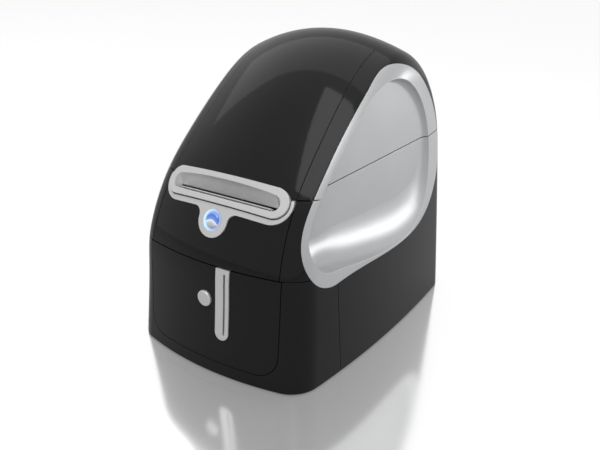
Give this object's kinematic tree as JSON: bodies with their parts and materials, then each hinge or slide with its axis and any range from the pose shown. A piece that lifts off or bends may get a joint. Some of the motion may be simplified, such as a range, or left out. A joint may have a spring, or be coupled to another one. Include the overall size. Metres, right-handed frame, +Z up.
{
  "type": "label printer",
  "caption": "Desktop label printer with a domed, rear-hinged cover, silver dished side panels, a front label exit, a feed button and a sliding tape tray below.",
  "frame": {"origin": "centre of the bounding box's bottom face, on the surface that the feet stand on", "axes": "+Z up, the label exit and tape tray face -Y, +X to the right seen from the front"},
  "size_m": [0.1398, 0.1969, 0.184],
  "materials": {
    "gloss_black": "polished black",
    "satin_black": "fine satin",
    "silver": "satin silver",
    "light_ring": "frosted light guide",
    "button_blue": "clear gloss",
    "board_green": "solder resist",
    "steel": "bright",
    "rubber": "matt",
    "grey": "fine satin",
    "white": "moulded",
    "brass": "turned",
    "paper": "smooth",
    "cardboard": "plain",
    "aluminium": "pressed",
    "blue": "moulded"
  },
  "bodies": {
    "case": {"base_plate": "satin_black", "rubber_feet": "rubber", "casing_screws": "steel", "lower_front_housing": "gloss_black", "rear_housing": "gloss_black", "front_corner_right": "gloss_black", "front_corner_left": "gloss_black", "front_fascia": "gloss_black", "exit_cradle": "silver", "button_light_ring": "light_ring", "button_board": "board_green", "side_panel_lower_right": "silver", "side_panel_lower_left": "silver", "hinge_brackets": "satin_black", "hinge_pins": "steel", "tray_bay": "satin_black", "deck": "satin_black", "main_board": "board_green", "power_jack": "satin_black", "data_socket": "steel", "roll_well": "grey", "print_frame": "steel", "platen_bushes": "brass", "idler_pin": "steel", "feed_motor": "steel", "head_shaft": "steel", "lever_pin": "steel", "guide_rail": "steel", "tray_latch": "satin_black"},
    "cover": {"cover_shell": "gloss_black", "cover_front_panel": "gloss_black", "side_panel_upper_right": "silver", "side_panel_upper_left": "silver", "exit_bezel": "silver", "tear_bar": "steel"},
    "feed_button": {"feed_button": "button_blue"},
    "label_spool": {"spool_core": "grey", "spool_guide_right": "grey", "spool_guide_left": "grey", "roll_core": "cardboard", "label_roll": "paper"},
    "platen": {"platen_shaft": "steel", "platen_roller": "rubber", "platen_gear": "white"},
    "idler": {"idler_gear": "white"},
    "motor_rotor": {"motor_pinion": "brass", "motor_shaft": "steel"},
    "print_head": {"head_bracket": "aluminium", "thermal_head": "satin_black"},
    "release_lever": {"release_lever": "blue"},
    "label_guide": {"label_guide": "grey"},
    "tape_tray": {"tray_front_panel": "gloss_black", "tape_exit_bar": "silver", "tray_body": "satin_black", "tape_cassette": "grey", "tape_head": "aluminium"},
    "tray_button": {"tray_button": "silver"},
    "supply_spindle": {"supply_spindle": "white"},
    "takeup_spindle": {"takeup_spindle": "white"},
    "tape_feed_roller": {"tape_feed_roller": "rubber"}
  },
  "joints": [
    {"name": "cover_hinge", "type": "hinge", "parent": "case", "child": "cover", "pos_m": [0, 0.0856, 0.1246], "axis": [-1, 0, 0], "range_deg": [0, 78]},
    {"name": "feed_button_press", "type": "slide", "parent": "case", "child": "feed_button", "axis": [0, 0.9135, -0.4067], "range_m": [0, 0.001], "stiffness_N_per_m": 500, "springref_m": -0.0005},
    {"name": "label_spool_spin", "type": "hinge", "parent": "case", "child": "label_spool", "pos_m": [0, 0.025, 0.108], "axis": [1, 0, 0], "continuous": true},
    {"name": "platen_spin", "type": "hinge", "parent": "case", "child": "platen", "pos_m": [0, -0.058, 0.095], "axis": [1, 0, 0], "continuous": true},
    {"name": "idler_spin", "type": "hinge", "parent": "case", "child": "idler", "pos_m": [0, -0.04408, 0.09153], "axis": [1, 0, 0], "continuous": true},
    {"name": "motor_spin", "type": "hinge", "parent": "case", "child": "motor_rotor", "pos_m": [0, -0.042, 0.082], "axis": [1, 0, 0], "continuous": true},
    {"name": "head_lift", "type": "hinge", "parent": "case", "child": "print_head", "pos_m": [0, -0.034, 0.104], "axis": [-1, 0, 0], "range_deg": [0, 5]},
    {"name": "release_lever_swing", "type": "hinge", "parent": "case", "child": "release_lever", "pos_m": [0, -0.046, 0.09], "axis": [-1, 0, 0], "range_deg": [0, 25]},
    {"name": "label_guide_slide", "type": "slide", "parent": "case", "child": "label_guide", "axis": [1, 0, 0], "range_m": [-0.019, 0.004]},
    {"name": "tape_tray_slide", "type": "slide", "parent": "case", "child": "tape_tray", "axis": [0, -1, 0], "range_m": [0, 0.075]},
    {"name": "tray_button_press", "type": "slide", "parent": "tape_tray", "child": "tray_button", "axis": [0, 1, 0], "range_m": [0, 0.002], "stiffness_N_per_m": 400, "springref_m": -0.0005},
    {"name": "supply_spindle_spin", "type": "hinge", "parent": "tape_tray", "child": "supply_spindle", "pos_m": [-0.02, -0.036, 0.02], "axis": [0, 0, 1], "continuous": true},
    {"name": "takeup_spindle_spin", "type": "hinge", "parent": "tape_tray", "child": "takeup_spindle", "pos_m": [0.02, -0.036, 0.02], "axis": [0, 0, 1], "continuous": true},
    {"name": "tape_feed_spin", "type": "hinge", "parent": "tape_tray", "child": "tape_feed_roller", "pos_m": [0.02, -0.069, 0.02], "axis": [0, 0, 1], "continuous": true}
  ],
  "couplings": [
    {"joint": "idler_spin", "follows": "platen_spin", "ratio": -1.3333},
    {"joint": "motor_spin", "follows": "platen_spin", "ratio": 2.5},
    {"joint": "release_lever_swing", "follows": "head_lift", "ratio": 4.95},
    {"joint": "supply_spindle_spin", "follows": "tape_feed_spin", "ratio": -0.85},
    {"joint": "takeup_spindle_spin", "follows": "tape_feed_spin", "ratio": -0.85}
  ]
}
